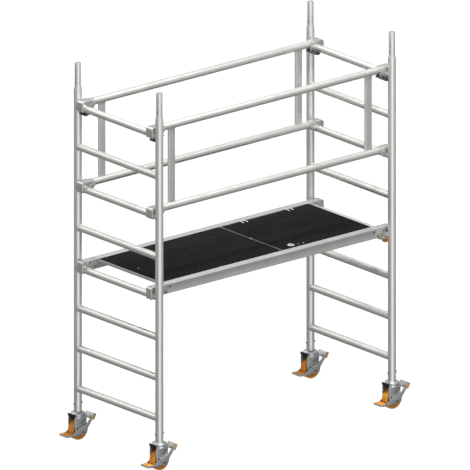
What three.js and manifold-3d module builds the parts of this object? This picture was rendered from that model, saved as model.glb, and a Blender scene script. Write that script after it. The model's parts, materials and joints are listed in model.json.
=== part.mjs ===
// A mobile aluminium room scaffold: two ladder end frames on braked castors, a deck with a
// hatch hooked over the fourth rungs, and a welded guardrail frame hooked on along each side.
// Millimetres. X runs along the bay, Y across it and Z up. The origin is on the floor below
// the middle of the bay.
import * as THREE from 'three';
import { mergeVertices } from 'three/addons/utils/BufferGeometryUtils.js';
import Module from 'manifold-3d';

const wasm = await Module();
wasm.setup();

// ---- Driving dimensions ----
const GAP = 0.3; // left between pieces that touch
const THROUGH = 50; // how far a castor's bores run each way, which is right through
const BAY_LENGTH = 1790; // end frame to end frame, between tube centres
const FRAME_WIDTH = 746; // stile to stile, between tube centres
const FOOT_HEIGHT = 175; // floor to the open foot of a stile

const STILE = { radius: 24, bore: 20, length: 2000, sides: 12 };
const SPIGOT = { radius: 19, bore: 16, length: 161, taper: 15, pinHole: 38 };
const RUNG = { radius: 21.5, bore: 19, first: 140, pitch: 250, count: 8, sides: 8 };
const PIN = { radius: 4, hole: 4.5, height: 222, tip: -36, knob: 37, knobRadius: 7 };

const WHEEL = { radius: 62.5, tyreInside: 50, halfWidth: 23, treadHalfWidth: 16, sides: 20 };
const TYRE = { shoulder: 8, draft: 3 };
const HUB = { boss: 14, web: 16, webHalf: 8, rimHalf: 18 };
const AXLE = { radius: 5, headRadius: 9, headHeight: 5 };
const CROWN = { radius: 43, bottom: 138, top: 166, bore: 12.3 };
const STEM = { flange: 17, flangeDepth: 5, collar: 30, abovePin: 54 };
const LEG = { inside: 27, thickness: 4 };
const ROCKER = { thickness: 4, reach: 115, pedalEnd: -68 };

const RAIL = { radius: 22, bore: 20, offset: 319, rise: 30, rungs: [7, 5], sides: 12 };
const POST = { at: 757, width: 50, depth: 13, wall: 2 };
const HOOK = { inside: 66, outside: 34, halfWidth: 29, saddle: RUNG.radius + 0.4 };
const LATCH = { halfWidth: 13, lug: 6, pivot: [-50, -13], boss: 8, trunnion: 3.5 };

const DECK = { rung: 3, bottom: -3, top: 57, inside: 290, outside: 340, wall: 3, end: 805 };
const LEDGE = { reach: 12, top: 42.7, thickness: 3.5 };
const BOARD = { bottom: 43, top: 55 };
const DECK_END = { from: 3, to: 7, bottom: 20, lip: 15, lipBottom: 38.5 };
const CROSSBAR = { bottom: 5, halfWidth: 25 };
const SEAM = 131; // where the fixed board ends and the hatch begins
const SEAM_GAP = 3; // from there to the edge of either board
const BOARD_OVERLAP = 2; // how far the boards run past the beams' ends
const HATCH = { front: -289, back: 281, fingerHole: [230, -240, 20] };
const HINGE = { at: [296, 648], y: 285.5, z: 56.5, halfLength: 20, knuckle: 4, pin: 2 };
const LEAF = { width: 40, thickness: 2.5 };
const HINGE_LUG = { radius: 3.5, above: 3, thickness: 4 };
const BOLT = { x: 470, halfWidth: 15, from: -268, to: -186, bottom: 31, top: 37 };
const BOLT_KNOB = { radius: 5, length: 10, offCentre: 10 };
const KEEPER = { margin: 9, depth: 10, fromNose: 6, fromTail: 14, wall: 4 };

const MATERIALS = {
  tube: { color: 0xbdbdb8, roughness: 0.35, metalness: 0.9 },
  profile: { color: 0xaeaeab, roughness: 0.45, metalness: 0.85 },
  casting: { color: 0xa7a8a5, roughness: 0.55, metalness: 0.8 },
  zinc: { color: 0x9a9c9c, roughness: 0.4, metalness: 0.9 },
  orangeTyre: { color: 0xf08a24, roughness: 0.6, metalness: 0 },
  orangePlastic: { color: 0xe9801c, roughness: 0.45, metalness: 0 },
  darkPlastic: { color: 0x2f333b, roughness: 0.5, metalness: 0 },
  deckPly: { color: 0x262624, roughness: 0.7, metalness: 0 },
};

const scaffold = new THREE.Group();
const rungHeight = (index) => FOOT_HEIGHT + RUNG.first + index * RUNG.pitch;

// ---- Solids ----

// A closed three.js geometry as a solid for cutting and joining.
function solid(geometry) {
  const bare = geometry.clone();
  bare.deleteAttribute('normal');
  bare.deleteAttribute('uv');
  const merged = mergeVertices(bare, 1e-3);
  const points = merged.attributes.position.array;
  const corner = (i) => new THREE.Vector3().fromArray(points, 3 * i);
  const faces = [];
  let volume = 0;
  for (let i = 0; i < merged.index.count; i += 3) {
    const [a, b, c] = merged.index.array.slice(i, i + 3);
    if (a === b || b === c || c === a) continue;
    faces.push([a, b, c]);
    volume += corner(a).dot(corner(b).cross(corner(c)));
  }
  const outward = volume > 0 ? faces : faces.map(([a, b, c]) => [a, c, b]);
  const mesh = { numProp: 3, vertProperties: points, triVerts: Uint32Array.from(outward.flat()) };
  return new wasm.Manifold(new wasm.Mesh(mesh));
}

const join = (...solids) => solids.reduce((whole, piece) => whole.add(piece));
const cut = (whole, ...tools) => tools.reduce((rest, tool) => rest.subtract(tool), whole);

// Turns a geometry built along Y so that it lies along the named axis.
function along(axis, geometry) {
  if (axis === 'x') geometry.rotateZ(-Math.PI / 2);
  if (axis === 'z') geometry.rotateX(Math.PI / 2);
  return geometry;
}

// A round bar between two places on an axis, with a flat facing each way across it.
function rod(axis, radius, from, to, centre = [0, 0, 0], sides = 12) {
  const bar = new THREE.CylinderGeometry(radius, radius, to - from, sides);
  bar.rotateY(Math.PI / sides);
  bar.translate(0, (from + to) / 2, 0);
  return solid(along(axis, bar).translate(...centre));
}

// The tool that cuts a round hole: its flats, not its corners, stand at the radius.
function bore(axis, radius, from, to, centre = [0, 0, 0], sides = 12) {
  return rod(axis, radius / Math.cos(Math.PI / sides), from, to, centre, sides);
}

// A turned piece from a closed outline of [radius, place on the axis].
function turned(axis, outline, centre = [0, 0, 0], sides = 16) {
  const points = [...outline, outline[0]].map(([r, h]) => new THREE.Vector2(r, h));
  const shape = new THREE.LatheGeometry(points, sides, Math.PI / sides);
  return solid(along(axis, shape).translate(...centre));
}

function block([x0, x1], [y0, y1], [z0, z1]) {
  const box = new THREE.BoxGeometry(x1 - x0, y1 - y0, z1 - z0);
  return solid(box.translate((x0 + x1) / 2, (y0 + y1) / 2, (z0 + z1) / 2));
}

// A flat plate across Y, from an outline of [x, z].
function plate(outline, [y0, y1]) {
  const shape = new THREE.Shape(outline.map(([x, z]) => new THREE.Vector2(x, z)));
  const sheet = new THREE.ExtrudeGeometry(shape, { depth: y1 - y0, bevelEnabled: false });
  return solid(sheet.rotateX(Math.PI / 2).translate(0, y1, 0));
}

// The same plate on both sides of the middle plane.
const plates = (outline, [y0, y1]) => join(plate(outline, [y0, y1]), plate(outline, [-y1, -y0]));

function place(name, piece, finish, group = scaffold) {
  const { vertProperties, triVerts } = piece.getMesh();
  const geometry = new THREE.BufferGeometry();
  geometry.setAttribute('position', new THREE.BufferAttribute(vertProperties, 3));
  geometry.setIndex(new THREE.BufferAttribute(triVerts, 1));
  const mesh = new THREE.Mesh(geometry, new THREE.MeshStandardMaterial(MATERIALS[finish]));
  mesh.name = name;
  group.add(mesh);
}

function groupAt(x, y, z, turn = 0) {
  const group = new THREE.Group();
  group.position.set(x, y, z);
  group.rotation.z = turn;
  scaffold.add(group);
  return group;
}

// ---- End frames: two stiles with swaged spigots and eight rungs, welded into one ----

function endFrame() {
  const shoulder = FOOT_HEIGHT + STILE.length;
  const top = shoulder + SPIGOT.length;
  const half = FRAME_WIDTH / 2;
  const stile = (radius, neck, extra, y) =>
    turned(
      'z',
      [
        [0, FOOT_HEIGHT - extra],
        [radius, FOOT_HEIGHT - extra],
        [radius, shoulder],
        [neck, shoulder + SPIGOT.taper],
        [neck, top + extra],
        [0, top + extra],
      ],
      [0, y, 0],
      STILE.sides,
    );
  const walls = [];
  const hollows = [];
  for (const y of [-half, half]) {
    walls.push(stile(STILE.radius, SPIGOT.radius, 0, y));
    hollows.push(stile(STILE.bore, SPIGOT.bore, 1, y));
    for (const z of [PIN.height, shoulder + SPIGOT.pinHole]) {
      hollows.push(rod('x', PIN.hole, -STILE.radius - 1, STILE.radius + 1, [0, y, z], 8));
    }
  }
  for (let index = 0; index < RUNG.count; index += 1) {
    const centre = [0, 0, rungHeight(index)];
    walls.push(rod('y', RUNG.radius, -half, half, centre, RUNG.sides));
    hollows.push(rod('y', RUNG.bore, -half, half, centre, RUNG.sides));
  }
  return cut(join(...walls), join(...hollows));
}

// ---- Castors, each built about its own stile with the wheel's axle straight below ----

const axleBore = () => bore('y', AXLE.radius + GAP, -THROUGH, THROUGH, [0, 0, WHEEL.radius]);

function castorStem() {
  const top = PIN.height + STEM.abovePin;
  const outline = [
    [0, CROWN.bottom - STEM.flangeDepth],
    [STEM.flange, CROWN.bottom - STEM.flangeDepth],
    [STEM.flange, CROWN.bottom - GAP],
    [CROWN.bore - GAP, CROWN.bottom - GAP],
    [CROWN.bore - GAP, CROWN.top + GAP],
    [STEM.collar, CROWN.top + GAP],
    [STEM.collar, FOOT_HEIGHT - GAP],
    [SPIGOT.radius, FOOT_HEIGHT - GAP],
    [SPIGOT.radius, top],
    [0, top],
  ];
  const neck = turned('z', outline);
  return cut(neck, bore('x', PIN.hole, -THROUGH, THROUGH, [0, 0, PIN.height], 8));
}

function castorFork() {
  const legTop = (CROWN.bottom + CROWN.top) / 2;
  const legOutline = [
    [-46, legTop],
    [-48, 100],
    [-40, 60],
    [-18, 39],
    [14, 39],
    [34, 60],
    [40, 110],
    [44, legTop],
  ];
  const crownOutline = [
    [0, CROWN.bottom],
    [CROWN.radius, CROWN.bottom],
    [CROWN.radius, CROWN.top - 10],
    [CROWN.radius - 8, CROWN.top],
    [0, CROWN.top],
  ];
  const crown = turned('z', crownOutline);
  const legs = plates(legOutline, [LEG.inside, LEG.inside + LEG.thickness]);
  const axleHole = axleBore();
  const neckHole = bore('z', CROWN.bore, CROWN.bottom - 1, CROWN.top + 1);
  return cut(join(crown, legs), axleHole, neckHole);
}

function castorTyre() {
  const { radius, tyreInside, halfWidth, treadHalfWidth, sides } = WHEEL;
  const toFlat = 1 / Math.cos(Math.PI / sides); // so that a flat meets the floor
  const outline = [
    [tyreInside, -halfWidth + TYRE.draft],
    [radius - TYRE.shoulder, -halfWidth],
    [radius, -treadHalfWidth],
    [radius, treadHalfWidth],
    [radius - TYRE.shoulder, halfWidth],
    [tyreInside, halfWidth - TYRE.draft],
  ];
  const section = outline.map(([r, y]) => [r * toFlat, y]);
  return turned('y', section, [0, 0, radius], sides);
}

function castorHub() {
  const rim = WHEEL.tyreInside - GAP;
  const half = LEG.inside - 1;
  const outline = [
    [0, -half],
    [HUB.boss, -half],
    [HUB.web, -HUB.webHalf],
    [rim, -HUB.rimHalf],
    [rim, HUB.rimHalf],
    [HUB.web, HUB.webHalf],
    [HUB.boss, half],
    [0, half],
  ];
  const wheel = turned('y', outline, [0, 0, WHEEL.radius], WHEEL.sides);
  return cut(wheel, axleBore());
}

function castorAxle() {
  const head = LEG.inside + LEG.thickness + ROCKER.thickness + 3 * GAP;
  const centre = [0, 0, WHEEL.radius];
  const end = head + AXLE.headHeight;
  return join(
    rod('y', AXLE.radius, -head - 1, head + 1, centre),
    rod('y', AXLE.headRadius, head, end, centre, 6),
    rod('y', AXLE.headRadius, -end, -head, centre, 6),
  );
}

// The brake rocker: a side plate each side of the fork, the pedal that brakes when it is
// pushed down and, at the other end, the pedal that releases it.
function castorBrake() {
  const inside = LEG.inside + LEG.thickness + 2 * GAP;
  const outside = inside + ROCKER.thickness;
  const { reach } = ROCKER;
  const sideOutline = [
    [-reach + 3, 38],
    [-reach + 3, 47],
    [-66, 50],
    [-46, 62],
    [-16, 84],
    [26, 90],
    [50, 106],
    [64, 124],
    [97, 150],
    [101, 147],
    [88, 113],
    [45, 65],
    [39, 57],
    [15, 34],
    [-78, 34],
  ];
  const releaseOutline = [
    [76, 117],
    [97, 150],
    [reach, 141],
    [94, 110],
  ];
  const brakePedal = block([-reach, ROCKER.pedalEnd], [-outside, outside], [38, 50]);
  const releasePedal = plate(releaseOutline, [-outside, outside]);
  const axleHole = axleBore();
  return cut(join(plates(sideOutline, [inside, outside]), brakePedal, releasePedal), axleHole);
}

function lockPin() {
  const outline = [
    [0, STILE.radius + 2 * GAP],
    [PIN.knobRadius - 2, STILE.radius + 2 * GAP],
    [PIN.knobRadius, STILE.radius + 5],
    [PIN.knobRadius - 2, PIN.knob],
    [0, PIN.knob],
  ];
  return join(
    rod('x', PIN.radius, PIN.tip, STILE.radius + 2, [0, 0, PIN.height], 8),
    turned('x', outline, [0, 0, PIN.height], 12),
  );
}

// ---- Hooks that drop over a rung. Local origin on the rung's axis, +X away from the bay ----

// The saddle that clears the rung, open below.
function rungWay() {
  const { saddle, halfWidth } = HOOK;
  return join(
    bore('y', saddle, -halfWidth - 1, halfWidth + 1, [0, 0, 0], RUNG.sides),
    block([-saddle, saddle], [-halfWidth - 1, halfWidth + 1], [-60, 0]),
  );
}

// Two lugs below a hook that carry a latch's trunnions.
function latchLugs(top) {
  const outline = [
    [-66, top],
    [-62, -14],
    [-56, -23],
    [-44, -23],
    [-38, -14],
    [-26, top],
  ];
  const inside = LATCH.halfWidth + 2 * GAP;
  const [x, z] = LATCH.pivot;
  const hole = bore('y', LATCH.trunnion + GAP, -40, 40, [x, 0, z]);
  return cut(plates(outline, [inside, inside + LATCH.lug]), hole);
}

// Upper edge of a catch, from under the rung back to its pivot.
const CATCH_TOP = [
  [-6, -26],
  [-18, -21],
  [-28, -13],
  [-46, -6],
];

const RAIL_CATCH = [
  [-53, -17],
  [-46, -24],
  [-34, -34],
  [-20, -41],
  [-6, -44],
  [6, -43],
  [13, -37],
  [14, -31],
  [4, -28],
  ...CATCH_TOP,
];

const WIND_CATCH = [
  [-53, -19],
  [-44, -21.5],
  [-30, -24],
  [-17, -31],
  [-12, -40],
  [-11, -50],
  [-2, -47.5],
  [4, -51.5],
  [10, -46.5],
  [17, -48],
  [19, -40],
  [18, -32],
  [6, -28.5],
  ...CATCH_TOP,
];

// A catch that swings on a hook's lugs and reaches under the rung.
function latch(arm) {
  const [x, z] = LATCH.pivot;
  const trunnionEnd = LATCH.halfWidth + LATCH.lug;
  return join(
    plate(arm, [-LATCH.halfWidth, LATCH.halfWidth]),
    rod('y', LATCH.boss, -LATCH.halfWidth, LATCH.halfWidth, [x, 0, z]),
    rod('y', LATCH.trunnion, -trunnionEnd, trunnionEnd, [x, 0, z]),
  );
}

function railHook(hasLatch) {
  const { inside, outside, halfWidth } = HOOK;
  const bodyOutline = [
    [-46, 50],
    [12, 50],
    [28, 46],
    [outside, 36],
    [outside, -16],
    [20, -16],
    [-26, -8],
    [-38, 8],
    [-46, 10],
  ];
  const shankOutline = [
    [-inside + GAP, 52],
    [-40, 50],
    [-40, 10],
    [-inside + GAP, 8],
  ];
  const body = cut(
    join(
      plate(bodyOutline, [-halfWidth, halfWidth]),
      plate(shankOutline, [-RAIL.radius, RAIL.radius]),
      rod('x', RAIL.bore - 2 * GAP, -inside - 45, -inside + 4, [0, 0, RAIL.rise], RAIL.sides),
    ),
    rungWay(),
  );
  return hasLatch ? join(body, latchLugs(14)) : body;
}

function deckHook(hasLatch) {
  const start = DECK.end - BAY_LENGTH / 2 + GAP;
  const halfWidth = (DECK.outside - DECK.inside) / 2;
  const outline = [
    [start, DECK.top],
    [-4, DECK.top],
    [24, 50],
    [HOOK.outside, 40],
    [HOOK.outside, -16],
    [20, -16],
    [-26, -8],
    [-34, DECK.bottom],
    [start, DECK.bottom],
  ];
  const inset = DECK.wall + GAP;
  const plugHalf = halfWidth - inset;
  const body = cut(
    join(
      plate(outline, [-halfWidth, halfWidth]),
      block(
        [start - 40, start + 2],
        [-plugHalf, plugHalf],
        [DECK.bottom + inset, DECK.top - inset],
      ),
    ),
    rungWay(),
  );
  return hasLatch ? join(body, latchLugs(2)) : body;
}

// ---- Guardrail frame: two tubes and two flat posts, welded into one ----

function guardrail() {
  const end = BAY_LENGTH / 2 - HOOK.inside;
  const [high, low] = RAIL.rungs.map((index) => rungHeight(index) + RAIL.rise);
  const walls = [];
  const hollows = [];
  for (const z of [high, low]) {
    walls.push(rod('x', RAIL.radius, -end, end, [0, 0, z], RAIL.sides));
    hollows.push(bore('x', RAIL.bore, -end - 1, end + 1, [0, 0, z], RAIL.sides));
  }
  for (const x of [-POST.at, POST.at]) {
    const section = (inset) => [
      [x - POST.width / 2 + inset, x + POST.width / 2 - inset],
      [-POST.depth / 2 + inset, POST.depth / 2 - inset],
      [low, high],
    ];
    walls.push(block(...section(0)));
    hollows.push(block(...section(POST.wall)));
  }
  return cut(join(...walls), join(...hollows));
}

// ---- Deck. Heights are from the axis of the rung it hangs on ----

// A side beam: a box section with a ledge for the boards. Side is 1 at the back, -1 in front.
function deckBeam(side) {
  const { inside, outside, bottom, top, wall, end } = DECK;
  const across = (a, b) => [side * a, side * b].sort((p, q) => p - q);
  const tube = cut(
    block([-end, end], across(inside, outside), [bottom, top]),
    block([-end - 1, end + 1], across(inside + wall, outside - wall), [bottom + wall, top - wall]),
  );
  const ledgeHeights = [LEDGE.top - LEDGE.thickness, LEDGE.top];
  return join(tube, block([-end, end], across(inside - LEDGE.reach, inside + 1), ledgeHeights));
}

// Two lugs and the pin between them, for one hatch hinge.
function hingeLugs(x) {
  const { y, z, halfLength, pin } = HINGE;
  const { radius, above, thickness } = HINGE_LUG;
  const inside = halfLength + GAP;
  const outside = inside + thickness;
  const lugs = [[-outside, -inside], [inside, outside]].map(([from, to]) =>
    join(
      rod('x', radius, x + from, x + to, [0, y, z]),
      block([x + from, x + to], [y, DECK.inside + 1], [z - radius, z + above]),
    ),
  );
  return join(...lugs, rod('x', pin, x - inside - 1, x + inside + 1, [0, y, z], 8));
}

function deckEnd(side) {
  const across = [-DECK.inside + GAP, DECK.inside - GAP];
  const reach = DECK.inside - LEDGE.reach - GAP;
  const outward = (a, b) => [side * a, side * b].sort((p, q) => p - q);
  const { from, to, bottom, lip, lipBottom } = DECK_END;
  return join(
    block(outward(DECK.end + from, DECK.end + to), across, [bottom, DECK.top]),
    block(outward(DECK.end - lip, DECK.end + from + 1), [-reach, reach], [lipBottom, LEDGE.top]),
  );
}

function crossbar() {
  const across = [-DECK.inside + GAP, DECK.inside - GAP];
  const reach = DECK.inside - LEDGE.reach - GAP;
  const low = CROSSBAR.bottom;
  const high = LEDGE.top - LEDGE.thickness - GAP;
  const width = (inset) => [
    SEAM - CROSSBAR.halfWidth + inset,
    SEAM + CROSSBAR.halfWidth - inset,
  ];
  const tube = block(width(0), across, [low, high]);
  const seat = block(width(0), [-reach, reach], [high - 1, LEDGE.top]);
  const inside = [low + DECK.wall, high - DECK.wall];
  return cut(join(tube, seat), block(width(DECK.wall), [-DECK.outside, DECK.outside], inside));
}

function fixedBoard() {
  const across = DECK.inside - 2 * GAP;
  const length = [-DECK.end - BOARD_OVERLAP, SEAM - SEAM_GAP];
  return block(length, [-across, across], [BOARD.bottom, BOARD.top]);
}

// The hatch lid, with a finger hole and, underneath, two keepers for the bolt.
function hatchBoard() {
  const [fingerX, fingerY, fingerRadius] = HATCH.fingerHole;
  const length = [SEAM + SEAM_GAP, DECK.end + BOARD_OVERLAP];
  const lid = cut(
    block(length, [HATCH.front, HATCH.back], [BOARD.bottom, BOARD.top]),
    bore('z', fingerRadius, 0, 2 * BOARD.top, [fingerX, fingerY, 0], 16),
  );
  const halfKeeper = BOLT.halfWidth + KEEPER.margin;
  const slot = BOLT.halfWidth + GAP;
  const heights = [BOLT.bottom - KEEPER.wall, BOARD.bottom + 1];
  const keepers = [BOLT.from + KEEPER.fromNose, BOLT.to - KEEPER.fromTail].map((y) =>
    block([BOLT.x - halfKeeper, BOLT.x + halfKeeper], [y, y + KEEPER.depth], heights),
  );
  const slotHeights = [BOLT.bottom - GAP, BOLT.top + GAP];
  const way = block([BOLT.x - slot, BOLT.x + slot], [BOLT.from - 20, BOLT.to + 20], slotHeights);
  return join(lid, cut(join(...keepers), way));
}

function hatchBolt() {
  const knobY = (BOLT.from + BOLT.to) / 2 + BOLT_KNOB.offCentre;
  const { radius, length } = BOLT_KNOB;
  const slide = [BOLT.x - BOLT.halfWidth, BOLT.x + BOLT.halfWidth];
  return join(
    block(slide, [BOLT.from, BOLT.to], [BOLT.bottom, BOLT.top]),
    rod('z', radius, BOLT.bottom - length, BOLT.bottom + 1, [BOLT.x, knobY, 0]),
  );
}

function hatchHinge(x) {
  const { y, z, halfLength, knuckle, pin } = HINGE;
  const span = [x - halfLength, x + halfLength];
  const under = BOARD.top + GAP;
  const leaf = block(span, [y - LEAF.width, y], [under, under + LEAF.thickness]);
  const barrel = rod('x', knuckle, ...span, [0, y, z]);
  return cut(join(leaf, barrel), bore('x', pin + GAP, x - THROUGH, x + THROUGH, [0, y, z]));
}

// ---- Assembly ----

const ENDS = { left: -1, right: 1 };
const SIDES = { front: -1, back: 1 };

for (const [end, alongBay] of Object.entries(ENDS)) {
  const x = (alongBay * BAY_LENGTH) / 2;
  const outwards = alongBay > 0 ? 0 : Math.PI;
  place(`end_frame_${end}`, endFrame(), 'tube', groupAt(x, 0, 0));

  for (const [side, across] of Object.entries(SIDES)) {
    const corner = `${side}_${end}`;
    const castor = groupAt(x, (across * FRAME_WIDTH) / 2, 0);
    place(`castor_stem_${corner}`, castorStem(), 'zinc', castor);
    place(`castor_fork_${corner}`, castorFork(), 'zinc', castor);
    place(`castor_tyre_${corner}`, castorTyre(), 'orangeTyre', castor);
    place(`castor_hub_${corner}`, castorHub(), 'orangePlastic', castor);
    place(`castor_axle_${corner}`, castorAxle(), 'zinc', castor);
    place(`castor_brake_${corner}`, castorBrake(), 'zinc', castor);
    place(`lock_pin_${corner}`, lockPin(), 'zinc', castor);

    const [topRung, midRung] = RAIL.rungs;
    const topHook = groupAt(x, across * RAIL.offset, rungHeight(topRung), outwards);
    const midHook = groupAt(x, across * RAIL.offset, rungHeight(midRung), outwards);
    place(`rail_hook_top_${corner}`, railHook(true), 'casting', topHook);
    place(`rail_latch_${corner}`, latch(RAIL_CATCH), 'darkPlastic', topHook);
    place(`rail_hook_mid_${corner}`, railHook(false), 'casting', midHook);

    const beamMiddle = (across * (DECK.inside + DECK.outside)) / 2;
    const hookGroup = groupAt(x, beamMiddle, rungHeight(DECK.rung), outwards);
    const windLocked = end === 'right';
    place(`deck_hook_${corner}`, deckHook(windLocked), 'casting', hookGroup);
    if (windLocked) place(`wind_lock_${corner}`, latch(WIND_CATCH), 'orangePlastic', hookGroup);
  }
}

for (const [side, across] of Object.entries(SIDES)) {
  place(`guardrail_${side}`, guardrail(), 'tube', groupAt(0, across * RAIL.offset, 0));
}

const deck = groupAt(0, 0, rungHeight(DECK.rung));
place('deck_beam_front', deckBeam(-1), 'profile', deck);
place('deck_beam_back', join(deckBeam(1), ...HINGE.at.map(hingeLugs)), 'profile', deck);
place('deck_end_left', deckEnd(-1), 'profile', deck);
place('deck_end_right', deckEnd(1), 'profile', deck);
place('deck_crossbar', crossbar(), 'profile', deck);
place('deck_board', fixedBoard(), 'deckPly', deck);
place('hatch_board', hatchBoard(), 'deckPly', deck);
place('hatch_bolt', hatchBolt(), 'zinc', deck);
HINGE.at.forEach((x, index) => place(`hatch_hinge_${index + 1}`, hatchHinge(x), 'zinc', deck));

export default scaffold;
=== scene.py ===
"""The looks of a mobile aluminium room scaffold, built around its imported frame."""

import json
import math

import bpy
from mathutils import Matrix, Vector


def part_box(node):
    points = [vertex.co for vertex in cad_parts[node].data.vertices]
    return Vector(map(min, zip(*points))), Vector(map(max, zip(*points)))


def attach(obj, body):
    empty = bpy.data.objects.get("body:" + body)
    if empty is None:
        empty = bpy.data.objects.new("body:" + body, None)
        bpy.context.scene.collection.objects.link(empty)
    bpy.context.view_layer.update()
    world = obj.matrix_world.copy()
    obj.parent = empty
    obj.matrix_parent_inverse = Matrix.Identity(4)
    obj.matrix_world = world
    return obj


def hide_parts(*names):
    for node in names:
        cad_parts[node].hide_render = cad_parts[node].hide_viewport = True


bl_info = {
    "name": "Room Scaffold",
    "version": (1, 0, 0),
    "blender": (4, 5, 0),
    "location": "View3D > Sidebar > Scaffold",
    "description": "Models the visible pieces of a mobile room scaffold around its frame",
    "category": "Add Mesh",
}

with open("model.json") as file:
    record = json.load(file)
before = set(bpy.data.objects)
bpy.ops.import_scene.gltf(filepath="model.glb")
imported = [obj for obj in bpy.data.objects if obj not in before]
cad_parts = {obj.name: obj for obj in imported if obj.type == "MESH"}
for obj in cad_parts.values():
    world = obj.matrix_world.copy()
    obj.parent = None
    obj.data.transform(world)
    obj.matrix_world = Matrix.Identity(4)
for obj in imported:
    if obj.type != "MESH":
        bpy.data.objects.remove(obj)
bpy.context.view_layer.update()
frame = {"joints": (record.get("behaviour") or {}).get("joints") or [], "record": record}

# ---- Places taken from the frame, in metres ----

ENDS = {"left": -1, "right": 1}
SIDES = {"front": -1, "back": 1}
PIVOTS = {joint["name"]: Vector(joint["pos_m"]) for joint in frame["joints"] if "pos_m" in joint}


def middle(node):
    low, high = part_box(node)
    return (low + high) / 2


def size_of(node):
    low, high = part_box(node)
    return high - low


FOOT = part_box("end_frame_left")[0].z
SPIGOT_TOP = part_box("end_frame_left")[1].z
STILE_X = middle("castor_stem_back_right").x
STILE_Y = middle("castor_stem_back_right").y
RAIL_Y = middle("guardrail_back").y
AXLE_Z = PIVOTS["roll_front_left"].z
FLOOR_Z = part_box("castor_tyre_front_left")[0].z
DECK_RUNG_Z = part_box("deck_beam_front")[0].z + 0.003
BEAM_LOW, BEAM_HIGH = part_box("deck_beam_back")
BEAM_INSIDE = BEAM_HIGH.y - 0.05
BOARD_LOW, BOARD_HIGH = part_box("deck_board")
HATCH_LOW, HATCH_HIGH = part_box("hatch_board")
HINGE_AXIS = PIVOTS["hatch_lid"]

# ---- Fixed sizes of the makers' parts, in metres ----

STILE_LENGTH = 2.0
STILE_WALL = 0.004
SPIGOT_WALL = 0.003
SWAGE = 0.015
FIRST_RUNG = 0.14
RUNG_PITCH = 0.25
RUNG_COUNT = 8
RAIL_RUNGS = {"top": 7, "mid": 5}
RAIL_RISE = 0.03
RAIL_WALL = 0.002
POST_X = 0.757
POST_SECTION = (0.05, 0.013)
HOOK_START = -0.066
HOOK_END = 0.034
SADDLE = 0.0219
CROWN_RADIUS = 0.043
CROWN_LOW = 0.138
CROWN_TOP = 0.166
FORK_INSIDE = 0.027
FORK_OUTSIDE = FORK_INSIDE + 0.004
PIN_Z = 0.222
SPIGOT_HOLE_UP = 0.038
STOP_Y = 0.228
THROUGH = 0.12  # length of a drill, more than any piece is deep
SMOOTH_ANGLE = 35  # degrees up to which two faces are shaded as one
ROUND = 48  # faces round a tube
WHEEL_ROUND = 64  # faces round a wheel
SMALL_ROUND = 24  # faces round a bolt, stud or boss


def rung_z(index):
    return FOOT + FIRST_RUNG + index * RUNG_PITCH


def corner_places(y, height, ends=("left", "right"), turned=True):
    """Where a piece goes at each corner, as (corner, offset, turn).

    The half turn at the left end faces a piece away from the bay, as at the right end.
    """
    return [
        (
            f"{side}_{end}",
            (ENDS[end] * STILE_X, SIDES[side] * y, height),
            math.pi if turned and end == "left" else 0.0,
        )
        for end in ends
        for side in SIDES
    ]


CASTOR_PLACES = corner_places(STILE_Y, 0, turned=False)


def mm(*points):
    """An outline given in millimetres."""
    return [(a / 1000, b / 1000) for a, b in points]


# ---- Modelling steps ----


def clear_selection():
    bpy.ops.object.select_all(action="DESELECT")


def select_only(*pieces):
    clear_selection()
    for piece in pieces:
        piece.select_set(True)
    bpy.context.view_layer.objects.active = pieces[0]


def draw(points):
    """Pulls one vertex from point to point. Leaves the open line selected in edit mode."""
    clear_selection()
    bpy.ops.mesh.primitive_plane_add(size=0.01, location=(0, 0, 0), enter_editmode=True)
    bpy.ops.mesh.merge(type="CENTER")
    bpy.ops.transform.translate(value=points[0])
    for here, there in zip(points, points[1:]):
        step = Vector(there) - Vector(here)
        bpy.ops.mesh.extrude_vertices_move(TRANSFORM_OT_translate={"value": step})
    bpy.ops.mesh.select_all(action="SELECT")


def tidy_mesh():
    """Merges doubles and turns every face outwards, in edit mode, then leaves it."""
    bpy.ops.mesh.select_all(action="SELECT")
    bpy.ops.mesh.remove_doubles(threshold=1e-6)
    bpy.ops.mesh.normals_make_consistent(inside=False)
    bpy.ops.object.mode_set(mode="OBJECT")
    return bpy.context.active_object


def apply_modifier(piece, kind, **settings):
    select_only(piece)
    modifier = piece.modifiers.new(kind.title(), kind)
    for key, value in settings.items():
        setattr(modifier, key, value)
    bpy.ops.object.modifier_apply(modifier=modifier.name)
    return piece


def round_edges(piece, width, segments=2):
    return apply_modifier(
        piece, "BEVEL", width=width, segments=segments, limit_method="ANGLE",
        angle_limit=math.radians(30),
    )


def slab(points, depth, rim=0.001, segments=2):
    """A flat piece: an outline filled, pulled through by depth, with its edges rounded."""
    draw(points)
    bpy.ops.mesh.edge_face_add()
    bpy.ops.mesh.extrude_region_move(TRANSFORM_OT_translate={"value": depth})
    piece = tidy_mesh()
    return round_edges(piece, rim, segments) if rim else piece


def plate(outline, y_from, y_to, rim=0.001, segments=2):
    """A slab across Y from an outline of (x, z)."""
    points = [(x, y_from, z) for x, z in outline]
    return slab(points, (0, y_to - y_from, 0), rim, segments)


def rectangle(low_a, low_b, high_a, high_b):
    return [(low_a, low_b), (high_a, low_b), (high_a, high_b), (low_a, high_b)]


def rod(bore, end, radius, low, high, chamfer):
    """A rod or tube from low to high for turning, with the radius of its ends and a chamfer."""
    return [
        (bore, low), (end, low), (radius, low + chamfer),
        (radius, high - chamfer), (end, high), (bore, high),
    ]


def mirrored(outline):
    """An outline of (radius, place) and the same points on the other side of place 0."""
    return [*outline, *[(radius, -place) for radius, place in reversed(outline)]]


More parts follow.
